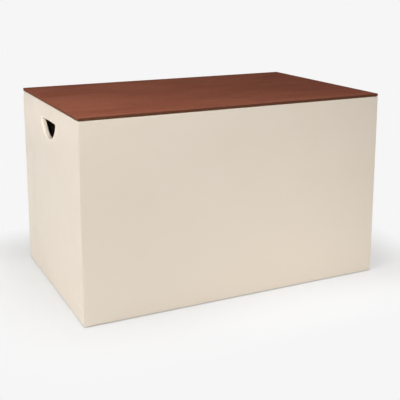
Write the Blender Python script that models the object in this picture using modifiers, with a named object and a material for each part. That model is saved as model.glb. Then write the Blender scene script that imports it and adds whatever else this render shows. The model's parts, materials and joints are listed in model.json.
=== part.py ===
"""Storage box with a hinged wooden lid, half-moon hand holes and two parallel-arm lid stays.

Metres, +Z up, +Y towards the back. The origin is on the floor, at the centre of the footprint's
bounding box. The front is at -Y, and the lid turns on a continuous hinge along the back.
"""

import math

import bmesh
import bpy
from mathutils import Vector

for old in list(bpy.data.objects):
    bpy.data.objects.remove(old)

# Box: outer sizes, with the rim's height measured from the floor
BOX_WIDTH = 0.800
BOX_DEPTH = 0.500
RIM_HEIGHT = 0.4748
WALL_THICKNESS = 0.012
ARRIS_RADIUS = 0.0015
FLOOR_GAP = 0.002

# Bottom: a thin panel held in a groove round the walls, with a batten and corner blocks under it
BOTTOM_RECESS = 0.018
BOTTOM_THICKNESS = 0.006
GROOVE_DEPTH = 0.005
BATTEN_WIDTH = 0.045
BATTEN_THICKNESS = 0.015
CORNER_BLOCK_LEG = 0.060
CORNER_BLOCK_NOSE = 0.016
CORNER_BLOCK_INSET = 0.001
GLIDE_RADIUS = 0.011
GLIDE_EDGE_RADIUS = 0.0006
GLIDE_NAIL_RADIUS = 0.001
GLIDE_NAIL_LENGTH = 0.010
GLIDE_FROM_CORNER = 0.021

# Hand hole: a circle cut off flat above, centred in each side wall
HAND_HOLE_RADIUS = 0.070
HAND_HOLE_CUT_BELOW_CENTRE = 0.0236
HAND_HOLE_TOP_BELOW_RIM = 0.0393
HAND_HOLE_CORNER_RADIUS = 0.005
HAND_HOLE_EASING = 0.001

# Lid: one board, rebated round the underside so that its plug drops inside the walls
LID_GAP = 0.0008
LID_LIP_THICKNESS = 0.0066
LID_PLUG_DEPTH = 0.0054
LID_PLUG_CLEARANCE = 0.0015
LID_CORNER_RADIUS = 0.002
LID_EDGE_RADIUS = 0.0008

# Bumpers: push-in silicone buttons in the front rim
BUMPER_HEAD_RADIUS = 0.004
BUMPER_HEAD_SINK = 0.0009
BUMPER_STEM_RADIUS = 0.002
BUMPER_STEM_LENGTH = 0.006
BUMPER_FROM_SIDE = 0.045

# Continuous hinge
HINGE_FROM_SIDE = 0.020
KNUCKLE_COUNT = 25
KNUCKLE_RADIUS = 0.0021
KNUCKLE_GAP = 0.0004
HINGE_PIN_RADIUS = 0.0011
HINGE_PIN_CLEARANCE = 0.0002
HINGE_PIN_END = 0.0005
LEAF_THICKNESS = 0.0008
LEAF_SPACING = 0.0004
LEAF_SHORT_OF_WALL = 0.0015
HINGE_SCREW_COUNT = 6
HINGE_SCREW_FROM_END = 0.020

# Lid stays: the pivots, then the plates and the housing
STAY_PIVOT_BELOW_RIM = 0.090
STAY_BEHIND_HOUSING = 0.012
LID_PIVOT_FORWARD = 0.122
LID_PIVOT_BELOW_PLUG = 0.015
BASE_PLATE_WIDTH = 0.022
BASE_PLATE_THICKNESS = 0.0025
BASE_PLATE_EAR = 0.015
HOUSING_WIDTH = 0.032
HOUSING_ABOVE_PIVOT = 0.020
HOUSING_BELOW_PIVOT = 0.072
HOUSING_THICKNESS = 0.012
HOUSING_CORNER_RADIUS = 0.009
HOUSING_EDGE_RADIUS = 0.0015
BOSS_RADIUS = 0.011
BOSS_HEIGHT = 0.001
SHAFT_RADIUS = 0.004
SHAFT_SOCKET_DEPTH = 0.008
SHAFT_HEAD_RADIUS = 0.0065
ARM_THICKNESS = 0.0025
ARM_ROOT_RADIUS = 0.0095
ARM_TIP_RADIUS = 0.007
LINK_THICKNESS = 0.002
LINK_EYE_RADIUS = 0.0065
RIVET_RADIUS = 0.0025
RIVET_HEAD_RADIUS = 0.0046
RIVET_HEAD_THICKNESS = 0.0012
BRACKET_THICKNESS = 0.0025
BRACKET_FLANGE_WIDTH = 0.022
BRACKET_LENGTH = 0.050
BRACKET_EYE_RADIUS = 0.0075
BRACKET_CORNER_RADIUS = 0.004
BRACKET_SCREW_FROM_END = 0.009
BRACKET_BEND_RADIUS = 0.0035
BRACKET_SHOULDER = 0.0015
ADJUSTER_RADIUS = 0.0035
ADJUSTER_UP = 0.012
ADJUSTER_DEPTH = 0.007
ADJUSTER_PROUD = 0.0003
ADJUSTER_SOCKET_RADIUS = 0.0018
ADJUSTER_SOCKET_DEPTH = 0.003

# Screws: countersunk, each stopping short of the far face of what it holds to
HINGE_SCREW_RADIUS = 0.00115
HINGE_SCREW_HEAD_RADIUS = 0.0023
HINGE_SCREW_HEAD_HEIGHT = 0.0011
BOX_LEAF_SCREW_LENGTH = 0.016
LID_SCREW_STOP = 0.0016
STAY_SCREW_RADIUS = 0.0018
STAY_SCREW_HEAD_RADIUS = 0.0036
STAY_SCREW_HEAD_HEIGHT = 0.0018
STAY_SCREW_STOP = 0.0025

# Fits: the gap between pieces that touch, a moving eye's clearance, and how far a cutter runs past
SEAT_GAP = 0.0003
EYE_CLEARANCE = 0.0003
OVERRUN = 0.002

# Fineness of round work: sides of a full circle, and segments of a rounded edge
ROUND_SIDES = 24
RIVET_SIDES = 16
SCREW_SIDES = 12
KNUCKLE_SIDES = 12
HEXAGON_SIDES = 6
ARRIS_SEGMENTS = 3
WELD_DISTANCE = 0.00001

# Planes and lines that several pieces share
OVERALL_DEPTH = BOX_DEPTH + SEAT_GAP + 2 * KNUCKLE_RADIUS
FRONT_FACE = -OVERALL_DEPTH / 2
BACK_FACE = FRONT_FACE + BOX_DEPTH
MIDDLE = (FRONT_FACE + BACK_FACE) / 2
SIDE_FACE = BOX_WIDTH / 2
INNER_FRONT = FRONT_FACE + WALL_THICKNESS
INNER_BACK = BACK_FACE - WALL_THICKNESS
INNER_SIDE = SIDE_FACE - WALL_THICKNESS
BOTTOM_UNDERSIDE = FLOOR_GAP + BOTTOM_RECESS
BOTTOM_TOP = BOTTOM_UNDERSIDE + BOTTOM_THICKNESS
LID_UNDERSIDE = RIM_HEIGHT + LID_GAP
LID_TOP = LID_UNDERSIDE + LID_LIP_THICKNESS
PLUG_UNDERSIDE = LID_UNDERSIDE - LID_PLUG_DEPTH

HINGE_LENGTH = BOX_WIDTH - 2 * HINGE_FROM_SIDE
HINGE_AXIS = Vector(
    (
        0,
        BACK_FACE + SEAT_GAP + KNUCKLE_RADIUS,
        LID_UNDERSIDE - SEAT_GAP - LEAF_THICKNESS - LEAF_SPACING / 2,
    )
)
BACK_WALL_TOP = HINGE_AXIS.z - LEAF_SPACING / 2 - LEAF_THICKNESS - SEAT_GAP

# The stay is a parallelogram: its arm copies the line from the hinge to the lid pivot, and its
# link copies the line from the hinge to the fixed pivot, so both turn in step with the lid
FIXED_PIVOT_Y = INNER_BACK - STAY_BEHIND_HOUSING - HOUSING_WIDTH / 2
FIXED_PIVOT_Z = RIM_HEIGHT - STAY_PIVOT_BELOW_RIM
LID_PIVOT_Y = HINGE_AXIS.y - LID_PIVOT_FORWARD
LID_PIVOT_Z = PLUG_UNDERSIDE - LID_PIVOT_BELOW_PLUG
ELBOW_Y = LID_PIVOT_Y + FIXED_PIVOT_Y - HINGE_AXIS.y
ELBOW_Z = LID_PIVOT_Z + FIXED_PIVOT_Z - HINGE_AXIS.z

# Distances from a side wall's inner face, going into the box
BASE_PLATE_FACE = SEAT_GAP + BASE_PLATE_THICKNESS
HOUSING_FACE = BASE_PLATE_FACE + SEAT_GAP + HOUSING_THICKNESS
SHAFT_END = HOUSING_FACE - SHAFT_SOCKET_DEPTH
ARM_START = HOUSING_FACE + BOSS_HEIGHT + SEAT_GAP
ARM_END = ARM_START + ARM_THICKNESS
LINK_START = ARM_END + SEAT_GAP
LINK_END = LINK_START + LINK_THICKNESS
EAR_START = LINK_END + SEAT_GAP
EAR_END = EAR_START + BRACKET_THICKNESS

SIDES = {"left": -1, "right": 1}
ENDS = {"front": -1, "back": 1}

# Which way a turned piece's own Z axis faces, and how a plate drawn flat stands against a side wall
HALF_CIRCLE = 180
HALF_TURN = math.pi
QUARTER_TURN = math.pi / 2
FACINGS = {
    "up": (0, 0, 0),
    "down": (HALF_TURN, 0, 0),
    "right": (0, QUARTER_TURN, 0),
    "left": (0, -QUARTER_TURN, 0),
}
INWARD = {"left": "right", "right": "left"}
AGAINST_SIDE = (QUARTER_TURN, 0, QUARTER_TURN)
ACROSS_SIDE = (QUARTER_TURN, 0, 0)

parts = bpy.data.collections.new("storage_box")
cutters = bpy.data.collections.new("cutters")
materials = {}


def material(name, colour, roughness, metallic=0.0):
    made = bpy.data.materials.new(name)
    made.use_nodes = True
    shader = made.node_tree.nodes["Principled BSDF"]
    shader.inputs["Base Color"].default_value = (*colour, 1.0)
    shader.inputs["Roughness"].default_value = roughness
    shader.inputs["Metallic"].default_value = metallic
    made.diffuse_color = (*colour, 1.0)
    materials[name] = made


def add_object(name, data, finish=None, parent=None, at=(0, 0, 0), turn=(0, 0, 0)):
    """Links an object at a world place, as a part if it has a finish, or else as a cutter."""
    obj = bpy.data.objects.new(name, data)
    if finish:
        parts.objects.link(obj)
        data.materials.clear()
        data.materials.append(materials[finish])
    else:
        cutters.objects.link(obj)
        obj.hide_render = True
        obj.display_type = "WIRE"
    obj.parent = parent
    obj.location = Vector(at) - (parent.location if parent else Vector())
    obj.rotation_euler = turn
    return obj


def add_axis(name, at):
    """An empty on a joint's axis, which carries what turns there."""
    axis = bpy.data.objects.new(name, None)
    parts.objects.link(axis)
    axis.location = at
    return axis


def shade(mesh):
    mesh.shade_smooth()
    mesh.set_sharp_from_angle(angle=math.radians(35))


def mesh_from(name, shape):
    mesh = bpy.data.meshes.new(name)
    bmesh.ops.recalc_face_normals(shape, faces=shape.faces)
    shape.to_mesh(mesh)
    shape.free()
    shade(mesh)
    return mesh


def box_mesh(name, low, high):
    """A box between two corners."""
    low, high = Vector(low), Vector(high)
    shape = bmesh.new()
    bmesh.ops.create_cube(shape, size=1)
    bmesh.ops.scale(shape, vec=high - low, verts=shape.verts)
    bmesh.ops.translate(shape, vec=(low + high) / 2, verts=shape.verts)
    return mesh_from(name, shape)


def arc(centre, radius, start, end, sides=ROUND_SIDES):
    """Points on an arc, both ends included, with angles in degrees."""
    steps = max(2, round(sides * abs(end - start) / 360))
    angles = [math.radians(start + (end - start) * i / steps) for i in range(steps + 1)]
    return [(centre[0] + radius * math.cos(a), centre[1] + radius * math.sin(a)) for a in angles]


def circle(centre, radius, sides=ROUND_SIDES):
    return arc(centre, radius, 0, 360, sides)[:-1]


def rounded_rectangle(low, high, radius, sides=ROUND_SIDES):
    (x0, y0), (x1, y1) = (low[0] + radius, low[1] + radius), (high[0] - radius, high[1] - radius)
    corners = ((x1, y0, -90), (x1, y1, 0), (x0, y1, 90), (x0, y0, 180))
    return [p for x, y, start in corners for p in arc((x, y), radius, start, start + 90, sides)]


def two_eye_outline(first, second, first_radius, second_radius):
    """The belt round two circles, such as a bar with rounded ends."""
    along = Vector(second) - Vector(first)
    heading = math.degrees(math.atan2(along.y, along.x))
    lean = math.degrees(math.acos((first_radius - second_radius) / along.length))
    far = arc(second, second_radius, heading - lean, heading + lean)
    return far + arc(first, first_radius, heading + lean, heading + 360 - lean)


def plate_mesh(name, outlines, thickness, edge_radius=0):
    """A flat plate in XY, centred on Z: the first outline is its edge and the others are holes."""
    curve = bpy.data.curves.new(name, "CURVE")
    curve.dimensions = "2D"
    curve.fill_mode = "BOTH"
    curve.extrude = thickness / 2 - edge_radius
    curve.bevel_depth = edge_radius
    curve.bevel_resolution = 1
    for outline in outlines:
        spline = curve.splines.new("POLY")
        spline.points.add(len(outline) - 1)
        for point, (x, y) in zip(spline.points, outline):
            point.co = (x, y, 0, 1)
        spline.use_cyclic_u = True
    holder = bpy.data.objects.new(name, curve)
    parts.objects.link(holder)
    bpy.context.view_layer.update()
    graph = bpy.context.evaluated_depsgraph_get()
    mesh = bpy.data.meshes.new_from_object(holder.evaluated_get(graph))
    bpy.data.objects.remove(holder)
    shape = bmesh.new()
    shape.from_mesh(mesh)
    bpy.data.meshes.remove(mesh)
    bmesh.ops.remove_doubles(shape, verts=shape.verts, dist=WELD_DISTANCE)
    return mesh_from(name, shape)


def loft_mesh(name, rings):
    """A closed skin through rings of as many points each."""
    shape = bmesh.new()
    loops = [[shape.verts.new(point) for point in ring] for ring in rings]
    for near, far in zip(loops, loops[1:]):
        for i in range(len(near)):
            j = (i + 1) % len(near)
            shape.faces.new((near[i], near[j], far[j], far[i]))
    shape.faces.new(loops[0])
    shape.faces.new(loops[-1])
    return mesh_from(name, shape)


def add_turned(name, profile, sides, facing="up", **placing):
    """A turned solid. The profile's (radius, height) points run from its top to its bottom."""
    mesh = bpy.data.meshes.new(name)
    edges = [(i, i + 1) for i in range(len(profile) - 1)]
    mesh.from_pydata([(radius, 0, height) for radius, height in profile], edges, [])
    obj = add_object(name, mesh, turn=FACINGS[facing], **placing)
    screw = obj.modifiers.new("turn", "SCREW")
    screw.steps = sides
    screw.render_steps = sides
    screw.use_merge_vertices = True
    screw.merge_threshold = WELD_DISTANCE
    screw.use_smooth_shade = True
    return obj


def add_cylinder(name, radius, start, end, sides, facing="up", **placing):
    """A cylinder along its own Z, between two heights on that axis."""
    shape = bmesh.new()
    bmesh.ops.create_cone(
        shape, cap_ends=True, segments=sides, radius1=radius, radius2=radius, depth=end - start
    )
    bmesh.ops.translate(shape, vec=(0, 0, (start + end) / 2), verts=shape.verts)
    return add_object(name, mesh_from(name, shape), turn=FACINGS[facing], **placing)


def change(obj, other, operation="DIFFERENCE"):
    """Cuts, joins or trims an object with another."""
    boolean = obj.modifiers.new(f"{operation.lower()}_{other.name}", "BOOLEAN")
    boolean.operation = operation
    boolean.object = other
    boolean.solver = "EXACT"


def screw_profile(radius, head_radius, head_height, length, grow=0, above=0):
    """A countersunk screw standing head up, with the head's face at zero."""
    return (
        (0, above),
        (head_radius + grow, above),
        (head_radius + grow, -grow),
        (radius + grow, -head_height - grow),
        (radius + grow, -length - grow),
        (0, -length - grow),
    )


def add_screw(name, at, facing, sizes, length, held, parent=None):
    """A screw whose head faces the way given, with its hole in each piece that it holds."""
    profile = screw_profile(*sizes, length)
    add_turned(name, profile, SCREW_SIDES, facing, finish="steel", parent=parent, at=at)
    profile = screw_profile(*sizes, length, SEAT_GAP, OVERRUN)
    hole = add_turned(f"{name}_hole", profile, SCREW_SIDES, facing, at=at)
    for piece in held:
        change(piece, hole)


HINGE_SCREW = (HINGE_SCREW_RADIUS, HINGE_SCREW_HEAD_RADIUS, HINGE_SCREW_HEAD_HEIGHT)
STAY_SCREW = (STAY_SCREW_RADIUS, STAY_SCREW_HEAD_RADIUS, STAY_SCREW_HEAD_HEIGHT)


def wall_mesh(name, across, inner, outer, half_length, top):
    """A mitred wall blank, oversize outside and below, whose ends stop just short of the mitre lines.

    across is the wall's long axis, and inner and outer are places along the other axis.
    """
    inner_end = half_length - SEAT_GAP / 2
    outer_end = inner_end + abs(outer - inner)
    plan = ((-inner_end, inner), (inner_end, inner), (outer_end, outer), (-outer_end, outer))
    if across == "Y":
        plan = [(place, MIDDLE + length) for length, place in plan]
    return plate_mesh(name, [plan], top - FLOOR_GAP + OVERRUN)


def build_walls():
    """The four mitred walls, all trimmed by one eased envelope and grooved for the bottom panel."""
    low = (-SIDE_FACE, FRONT_FACE, FLOOR_GAP)
    envelope = add_object("envelope", box_mesh("envelope", low, (SIDE_FACE, BACK_FACE, RIM_HEIGHT)))
    easing = envelope.modifiers.new("easing", "BEVEL")
    easing.width = ARRIS_RADIUS
    easing.segments = ARRIS_SEGMENTS
    easing.limit_method = "NONE"

    reach = GROOVE_DEPTH + SEAT_GAP
    groove_low = (-INNER_SIDE - reach, INNER_FRONT - reach, BOTTOM_UNDERSIDE - SEAT_GAP)
    groove_high = (INNER_SIDE + reach, INNER_BACK + reach, BOTTOM_TOP + SEAT_GAP)
    groove = add_object("groove", box_mesh("groove", groove_low, groove_high))

    above_rim = RIM_HEIGHT + OVERRUN
    half_depth = BOX_DEPTH / 2 - WALL_THICKNESS
    walls = {
        "front": ("X", INNER_FRONT, FRONT_FACE - OVERRUN, INNER_SIDE, above_rim),
        "back": ("X", INNER_BACK, BACK_FACE + OVERRUN, INNER_SIDE, BACK_WALL_TOP),
        "left": ("Y", -INNER_SIDE, -SIDE_FACE - OVERRUN, half_depth, above_rim),
        "right": ("Y", INNER_SIDE, SIDE_FACE + OVERRUN, half_depth, above_rim),
    }
    built = {}
    for side, (across, inner, outer, half_length, top) in walls.items():
        name = f"{side}_wall"
        mesh = wall_mesh(name, across, inner, outer, half_length, top)
        middle = (top + FLOOR_GAP - OVERRUN) / 2
        built[side] = add_object(name, mesh, "cream_lacquer", at=(0, 0, middle))
        change(built[side], envelope, "INTERSECT")
        change(built[side], groove)
    return built


def hand_hole_outline(grow):
    """The half-moon in (y, z) about the hole's circle, with its two upper corners rounded."""
    radius = HAND_HOLE_RADIUS + grow
    top = -HAND_HOLE_CUT_BELOW_CENTRE + grow
    corner = HAND_HOLE_CORNER_RADIUS + grow
    corner_z = top - corner
    corner_y = math.sqrt((radius - corner) ** 2 - corner_z**2)
    leave = math.degrees(math.atan2(corner_z, corner_y))
    right_corner = arc((corner_y, corner_z), corner, 90, leave, 2 * ROUND_SIDES)
    bowl = arc((0, 0), radius, leave, -180 - leave, 2 * ROUND_SIDES)
    left_corner = [(-y, z) for y, z in reversed(right_corner)]
    return right_corner + bowl[1:-1] + left_corner


def cut_hand_holes(walls):
    circle_height = RIM_HEIGHT - HAND_HOLE_TOP_BELOW_RIM + HAND_HOLE_CUT_BELOW_CENTRE
    easing = HAND_HOLE_EASING
    stations = (
        (-OVERRUN, easing),
        (0, easing),
        (easing, 0),
        (WALL_THICKNESS - easing, 0),
        (WALL_THICKNESS, easing),
        (WALL_THICKNESS + OVERRUN, easing),
    )
    for side, sign in SIDES.items():
        rings = []
        for depth, grow in stations:
            x = sign * (SIDE_FACE - depth)
            rings.append([(x, MIDDLE + y, circle_height + z) for y, z in hand_hole_outline(grow)])
        name = f"{side}_hand_hole"
        change(walls[side], add_object(name, loft_mesh(name, rings)))


def build_bottom():
    """The bottom panel, its batten, and a block with a glide under each corner."""
    reach = GROOVE_DEPTH
    low = (-INNER_SIDE - reach, INNER_FRONT - reach, BOTTOM_UNDERSIDE)
    high = (INNER_SIDE + reach, INNER_BACK + reach, BOTTOM_TOP)
    add_object("bottom_panel", box_mesh("bottom_panel", low, high), "bare_board")

    batten_top = BOTTOM_UNDERSIDE - SEAT_GAP
    low = (-BATTEN_WIDTH / 2, INNER_FRONT + SEAT_GAP, batten_top - BATTEN_THICKNESS)
    high = (BATTEN_WIDTH / 2, INNER_BACK - SEAT_GAP, batten_top)
    add_object("bottom_batten", box_mesh("bottom_batten", low, high), "raw_timber")

    for end, forward in ENDS.items():
        for side, sign in SIDES.items():
            corner_y = INNER_FRONT + SEAT_GAP if forward < 0 else INNER_BACK - SEAT_GAP
            corner = Vector((sign * (INNER_SIDE - SEAT_GAP), corner_y, 0))
            build_corner_block(f"{end}_{side}", corner, -sign, -forward)


def build_corner_block(place, corner, inward, onward):
    """A glue block in one corner under the bottom panel, and the nail-on glide under it."""
    bottom = FLOOR_GAP + CORNER_BLOCK_INSET
    top = BOTTOM_UNDERSIDE - SEAT_GAP
    leg, nose = CORNER_BLOCK_LEG, CORNER_BLOCK_NOSE
    outline = ((0, 0), (leg, 0), (leg, nose), (nose, leg), (0, leg))
    plan = [(inward * x, onward * y) for x, y in outline]
    name = f"corner_block_{place}"
    at = corner + Vector((0, 0, (bottom + top) / 2))
    block = add_object(name, plate_mesh(name, [plan], top - bottom), "raw_timber", at=at)

    at = corner + Vector((inward, onward, 0)) * GLIDE_FROM_CORNER
    glide_top = bottom - SEAT_GAP
    nail_top = glide_top + GLIDE_NAIL_LENGTH
    profile = (
        (0, nail_top),
        (GLIDE_NAIL_RADIUS, nail_top),
        (GLIDE_NAIL_RADIUS, glide_top),
        (GLIDE_RADIUS, glide_top),
        (GLIDE_RADIUS, GLIDE_EDGE_RADIUS),
        (GLIDE_RADIUS - GLIDE_EDGE_RADIUS, 0),
        (0, 0),
    )
    add_turned(f"glide_{place}", profile, ROUND_SIDES, finish="nylon", at=at)
    name = f"glide_nail_hole_{place}"
    bore = GLIDE_NAIL_RADIUS + SEAT_GAP
    change(block, add_cylinder(name, bore, bottom - OVERRUN, nail_top + SEAT_GAP, SCREW_SIDES, at=at))


def bumper_profile(grow, top):
    """A button on a stem, or with grow its stepped hole, both down from the height given."""
    seat = RIM_HEIGHT - BUMPER_HEAD_SINK
    foot = seat - BUMPER_STEM_LENGTH
    return (
        (0, top),
        (BUMPER_HEAD_RADIUS + grow, top),
        (BUMPER_HEAD_RADIUS + grow, seat - grow),
        (BUMPER_STEM_RADIUS + grow, seat - grow),
        (BUMPER_STEM_RADIUS + grow, foot - grow),
        (0, foot - grow),
    )


def build_bumpers(front_wall):
    """Two silicone buttons, sunk in the front rim, that the closed lid rests on."""
    top = LID_UNDERSIDE - SEAT_GAP
    for side, sign in SIDES.items():
        at = (sign * (SIDE_FACE - BUMPER_FROM_SIDE), (FRONT_FACE + INNER_FRONT) / 2, 0)
        name = f"lid_bumper_{side}"
        add_turned(name, bumper_profile(0, top), RIVET_SIDES, finish="silicone", at=at)
        profile = bumper_profile(SEAT_GAP, top + OVERRUN)
        change(front_wall, add_turned(f"{name}_hole", profile, RIVET_SIDES, at=at))


def build_lid(axis):
    """The lid board: a lip as large as the box, with eased edges, over a plug that fits inside it."""
    middle = Vector((0, MIDDLE, LID_UNDERSIDE + LID_LIP_THICKNESS / 2))
    half = Vector((SIDE_FACE - LID_EDGE_RADIUS, BOX_DEPTH / 2 - LID_EDGE_RADIUS))
    outline = rounded_rectangle(-half, half, LID_CORNER_RADIUS - LID_EDGE_RADIUS)
    lip = plate_mesh("lid_board", [outline], LID_LIP_THICKNESS, LID_EDGE_RADIUS)
    lid = add_object("lid_board", lip, "lid_wood", axis, middle)
    inset = LID_PLUG_CLEARANCE
    low = (-INNER_SIDE + inset, INNER_FRONT + inset, PLUG_UNDERSIDE)
    high = (INNER_SIDE - inset, INNER_BACK - inset, LID_UNDERSIDE + LID_LIP_THICKNESS / 2)
    change(lid, add_object("lid_plug", box_mesh("lid_plug", low, high)), "UNION")
    return lid


def leaf_mesh(name, own):
    """The flat of a leaf, from the hinge axis inwards: a strip with a finger for each own knuckle."""
    pitch = HINGE_LENGTH / KNUCKLE_COUNT
    half = HINGE_LENGTH / 2
    root = -KNUCKLE_RADIUS - SEAT_GAP
    free_edge = INNER_BACK - HINGE_AXIS.y + LEAF_SHORT_OF_WALL
    outline = [(-half, root), (-half, free_edge), (half, free_edge), (half, root)]
    for place in reversed(own):
        start = place * pitch - half + KNUCKLE_GAP
        end = start + pitch - 2 * KNUCKLE_GAP
        outline += [(end, root), (end, 0), (start, 0), (start, root)]
    return plate_mesh(name, [outline], LEAF_THICKNESS)


def add_knuckles(name, own):
    """A leaf's knuckles: one cylinder on the hinge axis, repeated at every second place."""
    pitch = HINGE_LENGTH / KNUCKLE_COUNT
    start = own[0] * pitch - HINGE_LENGTH / 2 + KNUCKLE_GAP / 2
    end = start + pitch - KNUCKLE_GAP
    knuckles = add_cylinder(name, KNUCKLE_RADIUS, start, end, KNUCKLE_SIDES, "right", at=HINGE_AXIS)
    row = knuckles.modifiers.new("row", "ARRAY")
    row.count = len(own)
    row.use_relative_offset = False
    row.use_constant_offset = True
    row.constant_offset_displace = (0, 0, 2 * pitch)
    return knuckles


def build_hinge(lid_axis, back_wall, lid):
    """The continuous hinge: two leaves with alternate knuckles, the pin, and a row of screws in each."""
    half = HINGE_LENGTH / 2
    radius, reach = HINGE_PIN_RADIUS + HINGE_PIN_CLEARANCE, half + OVERRUN
    bore = add_cylinder("hinge_bore", radius, -reach, reach, KNUCKLE_SIDES, "right", at=HINGE_AXIS)
    radius, reach = HINGE_PIN_RADIUS, half - HINGE_PIN_END
    add_cylinder("hinge_pin", radius, -reach, reach, KNUCKLE_SIDES, "right", finish="steel", at=HINGE_AXIS)

    leaf_middle = (BACK_FACE + INNER_BACK + LEAF_SHORT_OF_WALL) / 2
    lid_screw_length = LEAF_THICKNESS + SEAT_GAP + LID_LIP_THICKNESS - LID_SCREW_STOP
    leaves = (
        ("box", -1, range(0, KNUCKLE_COUNT, 2), None, back_wall, BOX_LEAF_SCREW_LENGTH),
        ("lid", 1, range(1, KNUCKLE_COUNT, 2), lid_axis, lid, lid_screw_length),
    )
    for owner, direction, own, parent, board, screw_length in leaves:
        name = f"hinge_{owner}_leaf"
        leaf = add_object(name, leaf_mesh(name, own), "steel", parent, HINGE_AXIS)
        leaf.location.z += direction * (LEAF_SPACING + LEAF_THICKNESS) / 2
        change(leaf, add_knuckles(f"{name}_knuckles", own), "UNION")
        change(leaf, bore)
        facing = "up" if direction < 0 else "down"
        head_z = HINGE_AXIS.z + direction * LEAF_SPACING / 2
        span = HINGE_LENGTH - 2 * HINGE_SCREW_FROM_END
        for i in range(HINGE_SCREW_COUNT):
            at = (span * i / (HINGE_SCREW_COUNT - 1) - span / 2, leaf_middle, head_z)
            name = f"hinge_{owner}_screw_{i + 1}"
            add_screw(name, at, facing, HINGE_SCREW, screw_length, (leaf, board), parent)


def add_side_plate(name, side, outlines, start, end, at, edge_radius=0, **placing):
    """A plate parallel to a side wall, between two distances from the wall's inner face.

    Its outlines are drawn in (y, z) about the place given.
    """
    place = Vector((SIDES[side] * (INNER_SIDE - (start + end) / 2), at.y, at.z))
    mesh = plate_mesh(name, outlines, end - start, edge_radius)
    return add_object(name, mesh, at=place, turn=AGAINST_SIDE, **placing)


def build_stay(side, wall, lid, lid_axis):
    """One lid stay: a housing on the side wall, an arm, a link and a bracket under the lid.

    Its turned pieces stand on the wall's inner face, so their heights are distances from it.
    """
    wall_face = SIDES[side] * INNER_SIDE
    fixed = Vector((wall_face, FIXED_PIVOT_Y, FIXED_PIVOT_Z))
    elbow = Vector((wall_face, ELBOW_Y, ELBOW_Z))
    lid_pivot = Vector((wall_face, LID_PIVOT_Y, LID_PIVOT_Z))
    arm_axis = add_axis(f"stay_arm_axis_{side}", fixed)
    link_axis = add_axis(f"stay_link_axis_{side}", elbow)

    build_base_plate(side, wall, fixed)
    build_housing(side, fixed)
    build_arm(side, arm_axis, fixed, elbow)
    build_link(side, link_axis, elbow, lid_pivot)
    build_lid_bracket(side, lid, lid_axis, lid_pivot)
    add_rivet(f"stay_elbow_rivet_{side}", side, ARM_START, LINK_END, arm_axis, elbow)
    add_rivet(f"stay_lid_rivet_{side}", side, LINK_START, EAR_END, lid_axis, lid_pivot)


def build_base_plate(side, wall, fixed):
    """The strip with round ends that carries the housing, and its two screws into the side wall."""
    half = BASE_PLATE_WIDTH / 2
    top = HOUSING_ABOVE_PIVOT + BASE_PLATE_EAR - half
    bottom = half - HOUSING_BELOW_PIVOT - BASE_PLATE_EAR
    outline = two_eye_outline((0, bottom), (0, top), half, half)
    name = f"stay_base_plate_{side}"
    plate = add_side_plate(name, side, [outline], SEAT_GAP, BASE_PLATE_FACE, fixed, finish="steel")
    length = BASE_PLATE_FACE + WALL_THICKNESS - STAY_SCREW_STOP
    for place, height in (("upper", top), ("lower", bottom)):
        at = (SIDES[side] * (INNER_SIDE - BASE_PLATE_FACE), fixed.y, fixed.z + height)
        name = f"stay_base_screw_{place}_{side}"
        add_screw(name, at, INWARD[side], STAY_SCREW, length, (plate, wall))


def build_housing(side, fixed):
    """The damper housing, with a boss and a socket for the shaft and an adjusting screw in its foot."""
    edge = HOUSING_EDGE_RADIUS
    half = HOUSING_WIDTH / 2
    outline = rounded_rectangle(
        (edge - half, edge - HOUSING_BELOW_PIVOT),
        (half - edge, HOUSING_ABOVE_PIVOT - edge),
        HOUSING_CORNER_RADIUS - edge,
    )
    start = BASE_PLATE_FACE + SEAT_GAP
    name = f"stay_housing_{side}"
    housing = add_side_plate(
        name, side, [outline], start, HOUSING_FACE, fixed, edge, finish="black_plastic"
    )
    inward = INWARD[side]
    boss_face = HOUSING_FACE + BOSS_HEIGHT
    name = f"stay_boss_{side}"
    boss = add_cylinder(name, BOSS_RADIUS, start + edge, boss_face, ROUND_SIDES, inward, at=fixed)
    change(housing, boss, "UNION")
    socket_end = SHAFT_END - EYE_CLEARANCE
    radius = SHAFT_RADIUS + EYE_CLEARANCE
    top = boss_face + OVERRUN
    name = f"stay_socket_{side}"
    change(housing, add_cylinder(name, radius, socket_end, top, ROUND_SIDES, inward, at=fixed))

    at = fixed - Vector((0, 0, HOUSING_BELOW_PIVOT - ADJUSTER_UP))
    top = HOUSING_FACE + ADJUSTER_PROUD
    bottom = HOUSING_FACE - ADJUSTER_DEPTH
    name = f"stay_adjuster_{side}"
    screw = add_cylinder(name, ADJUSTER_RADIUS, bottom, top, RIVET_SIDES, inward, finish="steel", at=at)
    drive_end = top - ADJUSTER_SOCKET_DEPTH
    top += OVERRUN
    radius = ADJUSTER_SOCKET_RADIUS
    change(screw, add_cylinder(f"{name}_drive", radius, drive_end, top, HEXAGON_SIDES, inward, at=at))
    radius = ADJUSTER_RADIUS + SEAT_GAP
    bottom -= SEAT_GAP
    change(housing, add_cylinder(f"{name}_bore", radius, bottom, top, RIVET_SIDES, inward, at=at))


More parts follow.
